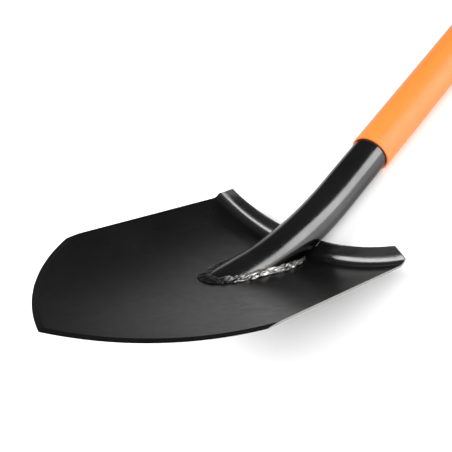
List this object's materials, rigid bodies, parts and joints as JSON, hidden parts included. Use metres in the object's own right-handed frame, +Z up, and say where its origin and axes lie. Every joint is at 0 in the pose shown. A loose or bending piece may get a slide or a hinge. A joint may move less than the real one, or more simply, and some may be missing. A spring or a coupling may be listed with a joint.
{
  "type": "detecting shovel",
  "caption": "Digging shovel for metal detecting: dished pointed steel blade with turned treads, bent welded tube, plastic sleeve and D-grip.",
  "frame": {"origin": "on the floor under the middle of the overall box, in the mirror plane, with the tool lying on its back", "axes": "+Y along the tool from the blade's point to the hand grip, +Z up, out of the dish, X across the blade"},
  "size_m": [0.182, 1.0002, 0.1645],
  "materials": {
    "black_enamel": "semi-gloss black coating",
    "tube_enamel": "gloss black coating",
    "weld_enamel": "gloss black coating over rough weld",
    "orange_plastic": "satin orange",
    "black_moulding": "fine matt texture",
    "orange_rubber": "soft matt orange",
    "zinc_steel": "zinc plated"
  },
  "bodies": {
    "root": {"blade": "black_enamel", "shaft_tube": "tube_enamel", "near_side_weld": "weld_enamel", "far_side_weld": "weld_enamel", "toe_weld": "weld_enamel", "heel_weld": "weld_enamel", "shaft_sleeve": "orange_plastic", "grip_yoke": "black_moulding", "grip_bar_core": "zinc_steel", "grip_cover": "orange_rubber", "grip_bolt": "zinc_steel", "grip_nut": "zinc_steel", "grip_washers": "zinc_steel", "socket_rivets": "zinc_steel"}
  },
  "joints": []
}
